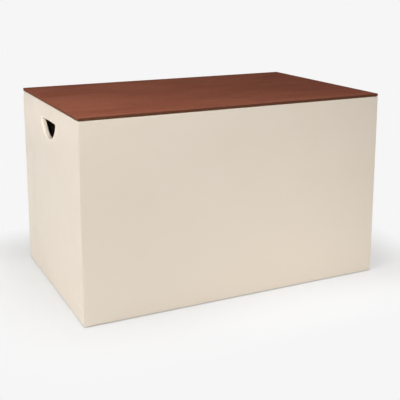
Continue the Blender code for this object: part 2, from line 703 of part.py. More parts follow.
def build_arm(side, arm_axis, fixed, elbow):
    """The arm, a plate that narrows to its elbow eye, and the headed shaft that turns with it."""
    reach = (elbow.y - fixed.y, elbow.z - fixed.z)
    outline = two_eye_outline((0, 0), reach, ARM_ROOT_RADIUS, ARM_TIP_RADIUS)
    holes = [circle((0, 0), SHAFT_RADIUS + SEAT_GAP), circle(reach, RIVET_RADIUS + SEAT_GAP)]
    outlines = [outline, *holes]
    placing = {"finish": "steel", "parent": arm_axis}
    add_side_plate(f"stay_arm_{side}", side, outlines, ARM_START, ARM_END, fixed, **placing)

    head_seat = ARM_END + SEAT_GAP
    profile = (
        (0, head_seat + RIVET_HEAD_THICKNESS),
        (SHAFT_HEAD_RADIUS, head_seat + RIVET_HEAD_THICKNESS),
        (SHAFT_HEAD_RADIUS, head_seat),
        (SHAFT_RADIUS, head_seat),
        (SHAFT_RADIUS, SHAFT_END),
        (0, SHAFT_END),
    )
    add_turned(f"stay_shaft_{side}", profile, ROUND_SIDES, INWARD[side], at=fixed, **placing)


def build_link(side, link_axis, elbow, lid_pivot):
    """The link, a strip with an eye at each end, from the elbow up to the lid."""
    reach = (lid_pivot.y - elbow.y, lid_pivot.z - elbow.z)
    outline = two_eye_outline((0, 0), reach, LINK_EYE_RADIUS, LINK_EYE_RADIUS)
    outlines = [outline] + [circle(centre, RIVET_RADIUS + EYE_CLEARANCE) for centre in ((0, 0), reach)]
    placing = {"finish": "steel", "parent": link_axis}
    add_side_plate(f"stay_link_{side}", side, outlines, LINK_START, LINK_END, elbow, **placing)


def build_lid_bracket(side, lid, lid_axis, lid_pivot):
    """A bent angle bracket: an ear that hangs beside the link, and a flange screwed up into the lid.

    It starts as an angle section along Y. One mask trims its plan, and another its side view.
    """
    sign = SIDES[side]
    half = BRACKET_LENGTH / 2
    top = PLUG_UNDERSIDE - SEAT_GAP
    bottom = top - BRACKET_THICKNESS
    outer = INNER_SIDE - EAR_START
    inner = INNER_SIDE - EAR_END
    free = inner - BRACKET_FLANGE_WIDTH
    low = lid_pivot.z - BRACKET_EYE_RADIUS - OVERRUN
    bend = BRACKET_BEND_RADIUS
    section = [(free, top), (free, bottom), (inner, bottom), (inner, low), (outer, low)]
    section += arc((outer - bend, top - bend), bend, 0, 90)
    section = [(sign * x, z) for x, z in section]
    name = f"stay_lid_bracket_{side}"
    mesh = plate_mesh(name, [section], BRACKET_LENGTH + 2 * OVERRUN)
    bracket = add_object(name, mesh, "steel", lid_axis, (0, lid_pivot.y, 0), ACROSS_SIDE)

    corner = BRACKET_CORNER_RADIUS
    plan = [(outer + OVERRUN, half), (outer + OVERRUN, -half)]
    plan += reversed(arc((free + corner, corner - half), corner, 180, 270))
    plan += reversed(arc((free + corner, half - corner), corner, 90, 180))
    plan = [(sign * x, y) for x, y in plan]
    height = top - low + 2 * OVERRUN
    at = (0, lid_pivot.y, (top + low) / 2)
    plan_mask = add_object(f"{name}_plan", plate_mesh(f"{name}_plan", [plan], height), at=at)
    change(bracket, plan_mask, "INTERSECT")

    side_view = arc((0, 0), BRACKET_EYE_RADIUS, -HALF_CIRCLE, 0)
    reach, shoulder = half + OVERRUN, bottom - BRACKET_SHOULDER - lid_pivot.z
    side_view += [(reach, shoulder), (reach, top + OVERRUN - lid_pivot.z)]
    side_view += [(-reach, top + OVERRUN - lid_pivot.z), (-reach, shoulder)]
    outlines = [side_view, circle((0, 0), RIVET_RADIUS + SEAT_GAP)]
    end = EAR_END + BRACKET_FLANGE_WIDTH + OVERRUN
    side_mask = add_side_plate(f"{name}_side_view", side, outlines, EAR_START - OVERRUN, end, lid_pivot)
    change(bracket, side_mask, "INTERSECT")

    length = LID_TOP - bottom - STAY_SCREW_STOP
    x = sign * (free + inner) / 2
    for place, forward in ENDS.items():
        at = (x, lid_pivot.y + forward * (half - BRACKET_SCREW_FROM_END), bottom)
        screw = f"stay_bracket_screw_{place}_{side}"
        add_screw(screw, at, "down", STAY_SCREW, length, (bracket, lid), lid_axis)


def add_rivet(name, side, start, end, parent, at):
    """A rivet with two flat heads, through the plates between two distances from the wall."""
    high = end + SEAT_GAP
    low = start - SEAT_GAP
    profile = (
        (0, high + RIVET_HEAD_THICKNESS),
        (RIVET_HEAD_RADIUS, high + RIVET_HEAD_THICKNESS),
        (RIVET_HEAD_RADIUS, high),
        (RIVET_RADIUS, high),
        (RIVET_RADIUS, low),
        (RIVET_HEAD_RADIUS, low),
        (RIVET_HEAD_RADIUS, low - RIVET_HEAD_THICKNESS),
        (0, low - RIVET_HEAD_THICKNESS),
    )
    add_turned(name, profile, RIVET_SIDES, INWARD[side], finish="steel", parent=parent, at=at)


def main():
    bpy.context.scene.collection.children.link(parts)
    bpy.context.scene.collection.children.link(cutters)
    material("cream_lacquer", (0.72, 0.64, 0.51), 0.38)
    material("lid_wood", (0.21, 0.075, 0.045), 0.42)
    material("bare_board", (0.62, 0.53, 0.40), 0.7)
    material("raw_timber", (0.58, 0.42, 0.25), 0.75)
    material("steel", (0.60, 0.59, 0.57), 0.35, 1.0)
    material("black_plastic", (0.03, 0.03, 0.032), 0.5)
    material("nylon", (0.75, 0.74, 0.70), 0.5)
    material("silicone", (0.8, 0.8, 0.78), 0.4)

    lid_axis = add_axis("lid_axis", HINGE_AXIS)
    walls = build_walls()
    cut_hand_holes(walls)
    build_bottom()
    build_bumpers(walls["front"])
    lid = build_lid(lid_axis)
    build_hinge(lid_axis, walls["back"], lid)
    for side in SIDES:
        build_stay(side, walls[side], lid, lid_axis)


main()
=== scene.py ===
import json
import math

import bmesh
import bpy
from mathutils import Matrix, Vector

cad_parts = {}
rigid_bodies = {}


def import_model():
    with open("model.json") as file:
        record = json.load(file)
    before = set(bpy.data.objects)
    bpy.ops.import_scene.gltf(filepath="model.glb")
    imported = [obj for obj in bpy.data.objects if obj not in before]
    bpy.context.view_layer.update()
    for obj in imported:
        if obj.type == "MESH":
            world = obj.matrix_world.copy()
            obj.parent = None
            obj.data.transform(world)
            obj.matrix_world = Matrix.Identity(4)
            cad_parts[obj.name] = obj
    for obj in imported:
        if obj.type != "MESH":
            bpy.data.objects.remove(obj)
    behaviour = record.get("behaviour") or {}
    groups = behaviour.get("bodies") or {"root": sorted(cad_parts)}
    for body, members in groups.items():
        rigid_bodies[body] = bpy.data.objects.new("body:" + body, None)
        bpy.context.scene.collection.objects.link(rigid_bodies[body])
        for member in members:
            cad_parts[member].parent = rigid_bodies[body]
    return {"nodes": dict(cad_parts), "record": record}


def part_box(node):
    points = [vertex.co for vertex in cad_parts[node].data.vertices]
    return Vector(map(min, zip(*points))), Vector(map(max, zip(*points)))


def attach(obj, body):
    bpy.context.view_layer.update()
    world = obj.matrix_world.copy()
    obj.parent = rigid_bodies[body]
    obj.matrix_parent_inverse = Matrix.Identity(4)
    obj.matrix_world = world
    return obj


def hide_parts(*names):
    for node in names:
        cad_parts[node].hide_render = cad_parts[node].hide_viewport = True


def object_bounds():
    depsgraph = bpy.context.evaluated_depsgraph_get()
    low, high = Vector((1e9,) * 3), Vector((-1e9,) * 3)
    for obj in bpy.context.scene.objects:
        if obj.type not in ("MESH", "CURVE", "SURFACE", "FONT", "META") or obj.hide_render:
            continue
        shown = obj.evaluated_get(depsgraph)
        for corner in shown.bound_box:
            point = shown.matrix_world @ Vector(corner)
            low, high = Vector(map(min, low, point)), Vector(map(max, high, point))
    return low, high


for old in list(bpy.data.objects):
    bpy.data.objects.remove(old)

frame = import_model()
nodes = frame["nodes"]
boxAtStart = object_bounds()
print("frame loaded:", len(nodes), "nodes")


def feed(tree, socket, value):
    # a socket is linked, anything else is set on the input itself
    if isinstance(value, bpy.types.NodeSocket):
        tree.links.new(value, socket)
    else:
        socket.default_value = value


def addNode(tree, kind, inputs=None, **settings):
    node = tree.nodes.new(kind)
    for name, value in settings.items():
        setattr(node, name, value)
    for name, value in (inputs or {}).items():
        feed(tree, node.inputs[name], value)
    return node


def maths(tree, operation, first, second=0.0, clamp=False):
    inputs = {0: first, 1: second}
    node = addNode(tree, "ShaderNodeMath", inputs, operation=operation, use_clamp=clamp)
    return node.outputs[0]


def times(tree, first, second):
    return maths(tree, "MULTIPLY", first, second)


def vectorMaths(tree, operation, *vectors):
    inputs = dict(enumerate(vectors))
    return addNode(tree, "ShaderNodeVectorMath", inputs, operation=operation).outputs


def spread(tree, value, low, high, toLow=0.0, toHigh=1.0):
    # takes low to high over to toLow to toHigh, with soft ends
    inputs = {"Value": value, "From Min": low, "From Max": high, "To Min": toLow, "To Max": toHigh}
    return addNode(tree, "ShaderNodeMapRange", inputs, interpolation_type="SMOOTHSTEP").outputs[0]


def tint(tree, colour, towards, mask, share=None):
    # turns a colour towards another one where the mask is, all the way or by a share of it
    node = addNode(tree, "ShaderNodeMix", data_type="RGBA")
    feed(tree, node.inputs[0], mask if share is None else times(tree, mask, share))
    for index, value in ((6, colour), (7, towards)):      # the node's two colour inputs
        if not isinstance(value, bpy.types.NodeSocket):
            value = (*value, 1.0)
        feed(tree, node.inputs[index], value)
    return node.outputs[2]


def noise(tree, vector, scale, detail=2.0, roughness=0.5, distortion=0.0):
    inputs = {"Vector": vector, "Scale": scale, "Detail": detail,
              "Roughness": roughness, "Distortion": distortion}
    return addNode(tree, "ShaderNodeTexNoise", inputs).outputs[0]


def drawnNoise(tree, vector, scale, drawn, *texture):
    # a noise drawn out along X, or by a number for each axis: the smaller, the longer
    drawn = drawn if isinstance(drawn, tuple) else (drawn, 1.0, 1.0)
    longer = addNode(tree, "ShaderNodeMapping", {"Vector": vector, "Scale": drawn}).outputs[0]
    return noise(tree, longer, scale, *texture)


def place(tree):
    # the piece's own coordinates in metres, so a pattern rides with its piece
    return addNode(tree, "ShaderNodeTexCoord").outputs["Object"]


def facing(tree, axis):
    # how far the surface faces along one of the piece's own axes, 0 to 1
    normal = addNode(tree, "ShaderNodeTexCoord").outputs["Normal"]
    part = addNode(tree, "ShaderNodeSeparateXYZ", {0: normal}).outputs[axis]
    return maths(tree, "ABSOLUTE", part)


def newGroup(name, inputs, outputs, treeKind="ShaderNodeTree"):
    # an input is given by its kind of socket, or by the number that a float starts from
    tree = bpy.data.node_groups.new(name, treeKind)
    for label, start in inputs.items():
        kind = start if isinstance(start, str) else "Float"
        socket = tree.interface.new_socket(label, in_out="INPUT", socket_type="NodeSocket" + kind)
        if kind == "Float":
            socket.default_value = start
    for label, kind in outputs.items():
        tree.interface.new_socket(label, in_out="OUTPUT", socket_type="NodeSocket" + kind)
    given, out = tree.nodes.new("NodeGroupInput"), tree.nodes.new("NodeGroupOutput")
    return tree, given.outputs, out.inputs


def putOut(tree, out, made):
    for name, socket in made.items():
        tree.links.new(socket, out[name])


def placeGroup(tree, group, where, values):
    node = tree.nodes.new("ShaderNodeGroup")
    node.node_tree = group
    feed(tree, node.inputs["Vector"], where)
    for name, value in values.items():
        feed(tree, node.inputs[name], value)
    return node.outputs


def emptyMaterial(name):
    material = bpy.data.materials.new(name)
    material.use_nodes = True
    tree = material.node_tree
    tree.nodes.clear()
    return material, tree, addNode(tree, "ShaderNodeOutputMaterial").inputs["Surface"]


def newMaterial(name, plain):
    # the plain values go on the shader's own sockets
    material, tree, surface = emptyMaterial(name)
    shader = addNode(tree, "ShaderNodeBsdfPrincipled", plain)
    tree.links.new(shader.outputs[0], surface)
    return material, tree, shader.inputs


def dress(tree, shader, colour, rough, height, depth):
    # depth is the height of one unit of the bump, in metres
    bump = addNode(tree, "ShaderNodeBump", {"Height": height, "Strength": 1.0, "Distance": depth})
    tree.links.new(colour, shader["Base Color"])
    tree.links.new(rough, shader["Roughness"])
    tree.links.new(bump.outputs[0], shader["Normal"])


# in the dictionaries of the effects, a texture is a noise's detail, roughness and distortion
rubbing = {
    "samples": 6,
    "turn": (0.004, 0.10),          # from a barely turned surface to a full arris
    "patchTexture": (3.0, 0.6),
    "patchFrom": (0.35, 0.65),
}


def makeEdgeRub(own):
    # 1 along an arris that hands and cloths have rubbed, 0 on the flats
    tree, given, out = newGroup(
        "edgeRub", {"Vector": "Vector", "Reach": 0.002, "Patches": 40.0, "Amount": 0.5},
        {"Mask": "Float"})
    rounded = addNode(tree, "ShaderNodeBevel", {"Radius": given["Reach"]}, samples=own["samples"])
    true = addNode(tree, "ShaderNodeNewGeometry")
    same = vectorMaths(tree, "DOT_PRODUCT", rounded.outputs[0], true.outputs["Normal"])["Value"]
    bent = spread(tree, maths(tree, "SUBTRACT", 1.0, same), *own["turn"])
    patches = noise(tree, given["Vector"], given["Patches"], *own["patchTexture"])
    broken = times(tree, bent, spread(tree, patches, *own["patchFrom"]))
    putOut(tree, out, {"Mask": maths(tree, "MULTIPLY", broken, given["Amount"], clamp=True)})
    return tree


spraying = {
    "driftTexture": (4.0, 0.55),
    "glossTexture": (5.0, 0.6),
    "glossToDrift": 6.0,            # patches of gloss to each drift of tone
    "swellTexture": (2.0, 0.5),
    "nibScale": 55.0,
    "nibFrom": (0.90, 0.93),        # few cells are above this and hold a nib
    "nibSize": 0.045,
    "nibHeight": 1.5,
}


def makeSprayFilm(own):
    # a sprayed film: broad drifts of tone, the fine swell of the spray, and a few nibs of dust
    tree, given, out = newGroup(
        "sprayFilm", {"Vector": "Vector", "Swell": 300.0, "Drift": 3.0},
        {"Drift": "Float", "Gloss": "Float", "Height": "Float", "Nibs": "Float"})
    where = given["Vector"]
    drift = noise(tree, where, given["Drift"], *own["driftTexture"])
    glossScale = times(tree, given["Drift"], own["glossToDrift"])
    gloss = noise(tree, where, glossScale, *own["glossTexture"])
    swell = noise(tree, where, given["Swell"], *own["swellTexture"])
    cells = {"Vector": where, "Scale": own["nibScale"]}
    cell = addNode(tree, "ShaderNodeTexVoronoi", cells, feature="F1").outputs
    chance = addNode(tree, "ShaderNodeSeparateColor", {0: cell["Color"]}).outputs[0]
    spots = spread(tree, cell["Distance"], 0.0, own["nibSize"], 1.0, 0.0)
    nibs = times(tree, spots, spread(tree, chance, *own["nibFrom"]))
    height = maths(tree, "ADD", swell, times(tree, nibs, own["nibHeight"]))
    putOut(tree, out, {"Drift": drift, "Gloss": gloss, "Height": height, "Nibs": nibs})
    return tree


graining = {
    # how far each mark is drawn out along the grain, then its texture
    "figure": (0.11, 2.0, 0.45, 0.15),
    "ripple": (0.05, 3.0),
    "mottle": (0.5, 3.0, 0.5, 0.3),
    "fibre": (0.014, 3.0, 0.65),
    "flecks": (0.25, 1.5, 0.5),
    "pores": (0.045, 1.0, 0.5),
    "rippleToFigure": 22.0,
    "rippleDepth": 0.9,
    "earlyWood": 0.25,              # share of a ring before it darkens
    "lateWood": 0.90,               # share of a ring where it is darkest and ends crisply
    "fleckFrom": (0.62, 0.72),
    "poreFrom": (0.60, 0.68),
    "fibreHeight": 0.35,
}


def makeGrain(own):
    # grain along X: growth rings cut at a slant, slow mottle, fibre, flecks and open pores
    tree, given, out = newGroup(
        "grain", {"Vector": "Vector", "Figure": 4.0, "Rings": 16.0, "Fibre": 700.0,
                  "Pores": 1500.0, "Flecks": 260.0, "Mottle": 9.0},
        {"Rings": "Float", "Mottle": "Float", "Fibre": "Float", "Flecks": "Float",
         "Pores": "Float", "Height": "Float"})
    where = given["Vector"]
    figure = drawnNoise(tree, where, given["Figure"], *own["figure"])
    rippleScale = times(tree, given["Figure"], own["rippleToFigure"])
    ripple = drawnNoise(tree, where, rippleScale, *own["ripple"])
    figured = times(tree, figure, given["Rings"])
    level = maths(tree, "ADD", figured, times(tree, ripple, own["rippleDepth"]))
    ring = maths(tree, "FRACT", level)
    darkens = spread(tree, ring, own["earlyWood"], own["lateWood"])
    rings = times(tree, darkens, spread(tree, ring, own["lateWood"], 1.0, 1.0, 0.0))
    mottle = drawnNoise(tree, where, given["Mottle"], *own["mottle"])
    fibre = drawnNoise(tree, where, given["Fibre"], *own["fibre"])
    flecks = drawnNoise(tree, where, given["Flecks"], *own["flecks"])
    flecks = spread(tree, flecks, *own["fleckFrom"])
    pores = drawnNoise(tree, where, given["Pores"], *own["pores"])
    pores = spread(tree, pores, *own["poreFrom"])
    height = maths(tree, "SUBTRACT", times(tree, fibre, own["fibreHeight"]), pores)
    putOut(tree, out, {"Rings": rings, "Mottle": mottle, "Fibre": fibre,
                       "Flecks": flecks, "Pores": pores, "Height": height})
    return tree


plating = {
    "cloudTexture": (4.0, 0.6),
    "tumbleTexture": (3.0, 0.5),
    "scratchScale": 2600.0,
    "scratchTexture": (2.0, 0.6),
    "alongX": (0.03, 1.0, 1.0),     # scratches run one way and, fewer of them, the other
    "alongZ": (1.0, 1.0, 0.03),
    "alongXFrom": (0.62, 0.72),
    "alongZFrom": (0.64, 0.74),
    "scratchDepth": 0.6,
}


def makeRubbedMetal(own):
    # plated steel: the tumbling marks under the plating, cloudy tarnish and fine scratches
    tree, given, out = newGroup(
        "rubbedMetal", {"Vector": "Vector", "Tumble": 900.0, "Cloud": 60.0},
        {"Cloud": "Float", "Scratch": "Float", "Height": "Float"})
    where = given["Vector"]
    cloud = noise(tree, where, given["Cloud"], *own["cloudTexture"])
    tumble = noise(tree, where, given["Tumble"], *own["tumbleTexture"])
    oneWay = drawnNoise(tree, where, own["scratchScale"], own["alongX"], *own["scratchTexture"])
    otherWay = drawnNoise(tree, where, own["scratchScale"], own["alongZ"], *own["scratchTexture"])
    oneWay = spread(tree, oneWay, *own["alongXFrom"])
    otherWay = spread(tree, otherWay, *own["alongZFrom"])
    scratch = maths(tree, "MAXIMUM", oneWay, otherWay)
    height = maths(tree, "SUBTRACT", tumble, times(tree, scratch, own["scratchDepth"]))
    putOut(tree, out, {"Cloud": cloud, "Scratch": scratch, "Height": height})
    return tree


moulding = {
    "sparkTexture": (2.0, 0.7),
    "flowDrawn": (1.0, 1.0, 0.3),
    "flowTexture": (3.0, 0.5, 0.8),
}


def makeMouldTexture(own):
    # spark-eroded mould texture with faint flow marks
    tree, given, out = newGroup(
        "mouldTexture", {"Vector": "Vector", "Spark": 1800.0, "Flow": 45.0},
        {"Flow": "Float", "Height": "Float"})
    where = given["Vector"]
    spark = noise(tree, where, given["Spark"], *own["sparkTexture"])
    flow = drawnNoise(tree, where, given["Flow"], own["flowDrawn"], *own["flowTexture"])
    putOut(tree, out, {"Flow": flow, "Height": spark})
    return tree


touching = {
    "texture": (6.0, 0.65, 0.4),
    "softness": 0.35,
}


def makeHandling(own):
    # where hands, toys and dust leave a faint grey bloom
    tree, given, out = newGroup(
        "handling", {"Vector": "Vector", "Size": 14.0, "Cover": 0.5}, {"Mask": "Float"})
    broad = noise(tree, given["Vector"], given["Size"], *own["texture"])
    edge = maths(tree, "SUBTRACT", 1.0, given["Cover"])
    mask = spread(tree, broad, edge, maths(tree, "ADD", edge, own["softness"]))
    putOut(tree, out, {"Mask": mask})
    return tree


edgeRub = makeEdgeRub(rubbing)
sprayFilm = makeSprayFilm(spraying)
grain = makeGrain(graining)
rubbedMetal = makeRubbedMetal(plating)
mouldTexture = makeMouldTexture(moulding)
handling = makeHandling(touching)
noiseRange = (0.3, 0.7)             # where most of a noise lies
print("shared effects made")


# gloss is the roughness at both ends of what changes it, depths are in metres,
# and a share says how strongly a mark shows
creamFinish = {
    "colour": (0.780, 0.692, 0.582),
    "warmer": (0.770, 0.676, 0.560),
    "rubbed": (0.840, 0.775, 0.680),
    "bloom": (0.620, 0.560, 0.470),
    "film": {"Swell": 330.0, "Drift": 2.6},
    "rub": {"Reach": 0.0018, "Patches": 34.0, "Amount": 0.55},
    "touched": {"Size": 11.0, "Cover": 0.42},
    "driftFrom": (0.35, 0.65),
    "bloomShare": 0.14,
    "nibShare": 0.18,
    "gloss": (0.36, 0.50),
    "rubbedGloss": 0.12,
    "depth": 0.000025,
    "plain": {"IOR": 1.48},
}


def makeCreamLacquer(own):
    material, tree, shader = newMaterial("creamLacquer", own["plain"])
    where = place(tree)
    film = placeGroup(tree, sprayFilm, where, own["film"])
    rub = placeGroup(tree, edgeRub, where, own["rub"])["Mask"]
    touched = placeGroup(tree, handling, where, own["touched"])["Mask"]
    drifts = spread(tree, film["Drift"], *own["driftFrom"])
    colour = tint(tree, own["colour"], own["warmer"], drifts)
    colour = tint(tree, colour, own["bloom"], touched, own["bloomShare"])
    colour = tint(tree, colour, own["bloom"], film["Nibs"], own["nibShare"])
    colour = tint(tree, colour, own["rubbed"], rub)
    rough = spread(tree, film["Gloss"], *noiseRange, *own["gloss"])
    rough = maths(tree, "ADD", rough, times(tree, rub, own["rubbedGloss"]))
    dress(tree, shader, colour, rough, film["Height"], own["depth"])
    return material


lidFinish = {
    "stain": (0.201, 0.0645, 0.0375),
    "dark": (0.142, 0.044, 0.026),
    "light": (0.243, 0.084, 0.050),
    "edge": (0.122, 0.049, 0.027),
    "endGrain": (0.200, 0.078, 0.046),
    "pore": (0.060, 0.020, 0.013),
    "rubbed": (0.330, 0.140, 0.085),
    "wood": {"Figure": 3.6, "Rings": 30.0, "Fibre": 620.0,
             "Pores": 1500.0, "Flecks": 135.0, "Mottle": 8.5},
    "rub": {"Reach": 0.0012, "Patches": 60.0, "Amount": 0.5},
    "touched": {"Size": 7.0, "Cover": 0.45},
    "ringShare": 0.26,
    "lightFrom": (0.38, 0.66),
    "lightShare": 0.60,
    "fibreFrom": (0.45, 0.70),
    "fibreShare": 0.40,
    "fleckShare": 0.30,
    "poreShare": 0.50,
    "edgeFrom": (0.85, 0.35),       # how far a surface still faces up where it counts as an edge
    "endFrom": (0.70, 0.85),        # how far it faces an end where the end grain shows
    "gloss": (0.62, 0.76),
    "depth": 0.00005,
    "plain": {"Specular IOR Level": 0.001},
}


def makeStainedWood(own):
    material, tree, shader = newMaterial("stainedWood", own["plain"])
    where = place(tree)
    wood = placeGroup(tree, grain, where, own["wood"])
    rub = placeGroup(tree, edgeRub, where, own["rub"])["Mask"]
    touched = placeGroup(tree, handling, where, own["touched"])["Mask"]
    lighter = spread(tree, wood["Mottle"], *own["lightFrom"])
    fibres = spread(tree, wood["Fibre"], *own["fibreFrom"])
    colour = tint(tree, own["stain"], own["dark"], wood["Rings"], own["ringShare"])
    colour = tint(tree, colour, own["light"], lighter, own["lightShare"])
    colour = tint(tree, colour, own["dark"], fibres, own["fibreShare"])
    colour = tint(tree, colour, own["pore"], wood["Flecks"], own["fleckShare"])
    colour = tint(tree, colour, own["pore"], wood["Pores"], own["poreShare"])
    colour = tint(tree, colour, own["edge"], spread(tree, facing(tree, "Z"), *own["edgeFrom"]))
    colour = tint(tree, colour, own["endGrain"], spread(tree, facing(tree, "X"), *own["endFrom"]))
    colour = tint(tree, colour, own["rubbed"], rub)
    rough = spread(tree, touched, 0.0, 1.0, *own["gloss"])
    dress(tree, shader, colour, rough, wood["Height"], own["depth"])
    return material


boardFinish = {
    "colour": (0.640, 0.560, 0.440),
    "fleck": (0.500, 0.410, 0.290),
    "bloom": (0.520, 0.460, 0.380),
    "touched": {"Size": 8.0, "Cover": 0.5},
    "fleckTexture": (900.0, 4.0, 0.7),      # scale, then texture
    "fleckFrom": (0.55, 0.70),
    "fleckShare": 0.35,
    "bloomShare": 0.3,
    "skinTexture": (700.0, 3.0, 0.6),
    "gloss": (0.55, 0.72),
    "depth": 0.00003,
    "plain": {"IOR": 1.46},
}


def makeFacedBoard(own):
    material, tree, shader = newMaterial("facedBoard", own["plain"])
    where = place(tree)
    touched = placeGroup(tree, handling, where, own["touched"])["Mask"]
    flecks = spread(tree, noise(tree, where, *own["fleckTexture"]), *own["fleckFrom"])
    colour = tint(tree, own["colour"], own["fleck"], flecks, own["fleckShare"])
    colour = tint(tree, colour, own["bloom"], touched, own["bloomShare"])
    rough = spread(tree, touched, 0.0, 1.0, *own["gloss"])
    dress(tree, shader, colour, rough, noise(tree, where, *own["skinTexture"]), own["depth"])
    return material


timberFinish = {
    "early": (0.640, 0.470, 0.275),
    "late": (0.430, 0.255, 0.115),
    "pore": (0.330, 0.190, 0.090),
    "wood": {"Figure": 12.0, "Rings": 16.0, "Fibre": 900.0,
             "Pores": 2200.0, "Flecks": 600.0, "Mottle": 20.0},
    "rub": {"Reach": 0.001, "Patches": 70.0, "Amount": 0.4},
    "lateShare": 0.75,
    "poreShare": 0.25,
    "glossFrom": (0.2, 0.8),
    "gloss": (0.60, 0.78),
    "depth": 0.00008,
    "plain": {"IOR": 1.45},
}


def makePlanedTimber(own):
    material, tree, shader = newMaterial("planedTimber", own["plain"])
    where = place(tree)
    wood = placeGroup(tree, grain, where, own["wood"])
    rub = placeGroup(tree, edgeRub, where, own["rub"])["Mask"]
    colour = tint(tree, own["early"], own["late"], wood["Rings"], own["lateShare"])
    colour = tint(tree, colour, own["pore"], wood["Fibre"], own["poreShare"])
    colour = tint(tree, colour, own["early"], rub)
    rough = spread(tree, wood["Fibre"], *own["glossFrom"], *own["gloss"])
    dress(tree, shader, colour, rough, wood["Height"], own["depth"])
    return material


steelFinish = {
    "colour": (0.610, 0.598, 0.578),
    "tarnish": (0.560, 0.546, 0.522),
    "bright": (0.740, 0.730, 0.715),
    "metal": {"Tumble": 1100.0, "Cloud": 140.0},
    "rub": {"Reach": 0.0006, "Patches": 200.0, "Amount": 0.7},
    "tarnishFrom": (0.40, 0.68),
    "scratchShare": 0.18,
    "gloss": (0.29, 0.36),
    "scratchGloss": 0.1,
    "depth": 0.000003,
    "plain": {"Metallic": 1.0},
}


def makePlatedSteel(own):
    material, tree, shader = newMaterial("platedSteel", own["plain"])
    where = place(tree)
    metal = placeGroup(tree, rubbedMetal, where, own["metal"])
    rub = placeGroup(tree, edgeRub, where, own["rub"])["Mask"]
    tarnish = spread(tree, metal["Cloud"], *own["tarnishFrom"])
    colour = tint(tree, own["colour"], own["tarnish"], tarnish)
    colour = tint(tree, colour, own["bright"], metal["Scratch"], own["scratchShare"])
    colour = tint(tree, colour, own["bright"], rub)
    rough = spread(tree, metal["Cloud"], *noiseRange, *own["gloss"])
    rough = maths(tree, "ADD", rough, times(tree, metal["Scratch"], own["scratchGloss"]))
    dress(tree, shader, colour, rough, metal["Height"], own["depth"])
    return material


plasticFinish = {
    "colour": (0.028, 0.028, 0.030),
    "worn": (0.075, 0.075, 0.078),
    "dust": (0.150, 0.140, 0.125),
    "skin": {"Spark": 1700.0, "Flow": 50.0},
    "rub": {"Reach": 0.001, "Patches": 160.0, "Amount": 0.7},
    "touched": {"Size": 90.0, "Cover": 0.45},
    "dustShare": 0.12,
    "gloss": (0.42, 0.60),
    "depth": 0.00003,
    "plain": {"IOR": 1.5},
}


def makeMouldedPlastic(own):
    material, tree, shader = newMaterial("mouldedPlastic", own["plain"])
    where = place(tree)
    skin = placeGroup(tree, mouldTexture, where, own["skin"])
    rub = placeGroup(tree, edgeRub, where, own["rub"])["Mask"]
    touched = placeGroup(tree, handling, where, own["touched"])["Mask"]
    colour = tint(tree, own["colour"], own["worn"], rub)
    colour = tint(tree, colour, own["dust"], touched, own["dustShare"])
    rough = spread(tree, skin["Flow"], *noiseRange, *own["gloss"])
    dress(tree, shader, colour, rough, skin["Height"], own["depth"])
    return material


nylonFinish = {
    "colour": (0.730, 0.715, 0.660),
    "scuff": (0.420, 0.400, 0.360),
    "skin": {"Spark": 1400.0, "Flow": 80.0},
    "scuffTexture": (700.0, 0.15, 3.0, 0.6),    # scale, how far drawn out, then texture
    "scuffFrom": (0.52, 0.68),
    "scuffShare": 0.5,
    "gloss": (0.40, 0.62),
    "depth": 0.00002,
    "plain": {"IOR": 1.53},
}


def makeNylon(own):
    material, tree, shader = newMaterial("mouldedNylon", own["plain"])
    where = place(tree)
    skin = placeGroup(tree, mouldTexture, where, own["skin"])
    scuffs = spread(tree, drawnNoise(tree, where, *own["scuffTexture"]), *own["scuffFrom"])
    colour = tint(tree, own["colour"], own["scuff"], scuffs, own["scuffShare"])
    rough = spread(tree, skin["Flow"], *noiseRange, *own["gloss"])
    dress(tree, shader, colour, rough, skin["Height"], own["depth"])
    return material


siliconeFinish = {
    "colour": (0.800, 0.800, 0.780),
    "dust": (0.560, 0.540, 0.500),
    "skin": {"Spark": 1500.0, "Flow": 150.0},
    "touched": {"Size": 260.0, "Cover": 0.5},
    "dustShare": 0.4,
    "gloss": (0.25, 0.48),
    "depth": 0.00001,
    "plain": {"IOR": 1.41, "Transmission Weight": 0.35},
}


def makeSilicone(own):
    material, tree, shader = newMaterial("clearSilicone", own["plain"])
    where = place(tree)
    skin = placeGroup(tree, mouldTexture, where, own["skin"])
    touched = placeGroup(tree, handling, where, own["touched"])["Mask"]
    colour = tint(tree, own["colour"], own["dust"], touched, own["dustShare"])
    rough = spread(tree, touched, 0.0, 1.0, *own["gloss"])
    dress(tree, shader, colour, rough, skin["Height"], own["depth"])
    return material


finishes = {
    "cream_lacquer": makeCreamLacquer(creamFinish),
    "lid_wood": makeStainedWood(lidFinish),
    "bare_board": makeFacedBoard(boardFinish),
    "raw_timber": makePlanedTimber(timberFinish),
    "steel": makePlatedSteel(steelFinish),
    "black_plastic": makeMouldedPlastic(plasticFinish),
    "nylon": makeNylon(nylonFinish),
    "silicone": makeSilicone(siliconeFinish),
}
for node in nodes.values():
    for slot in node.material_slots:
        slot.material = finishes[slot.material.name.split(".")[0]]
print("finishes made:", len(finishes))


shading = {
    "joinWithin": 0.00001,          # metres
    "flatWithin": 0.3,              # degrees
    "smoothBelow": 0.6,             # radians
    "easeFrom": 60.0,               # degrees
    "easeSegments": 2,
}


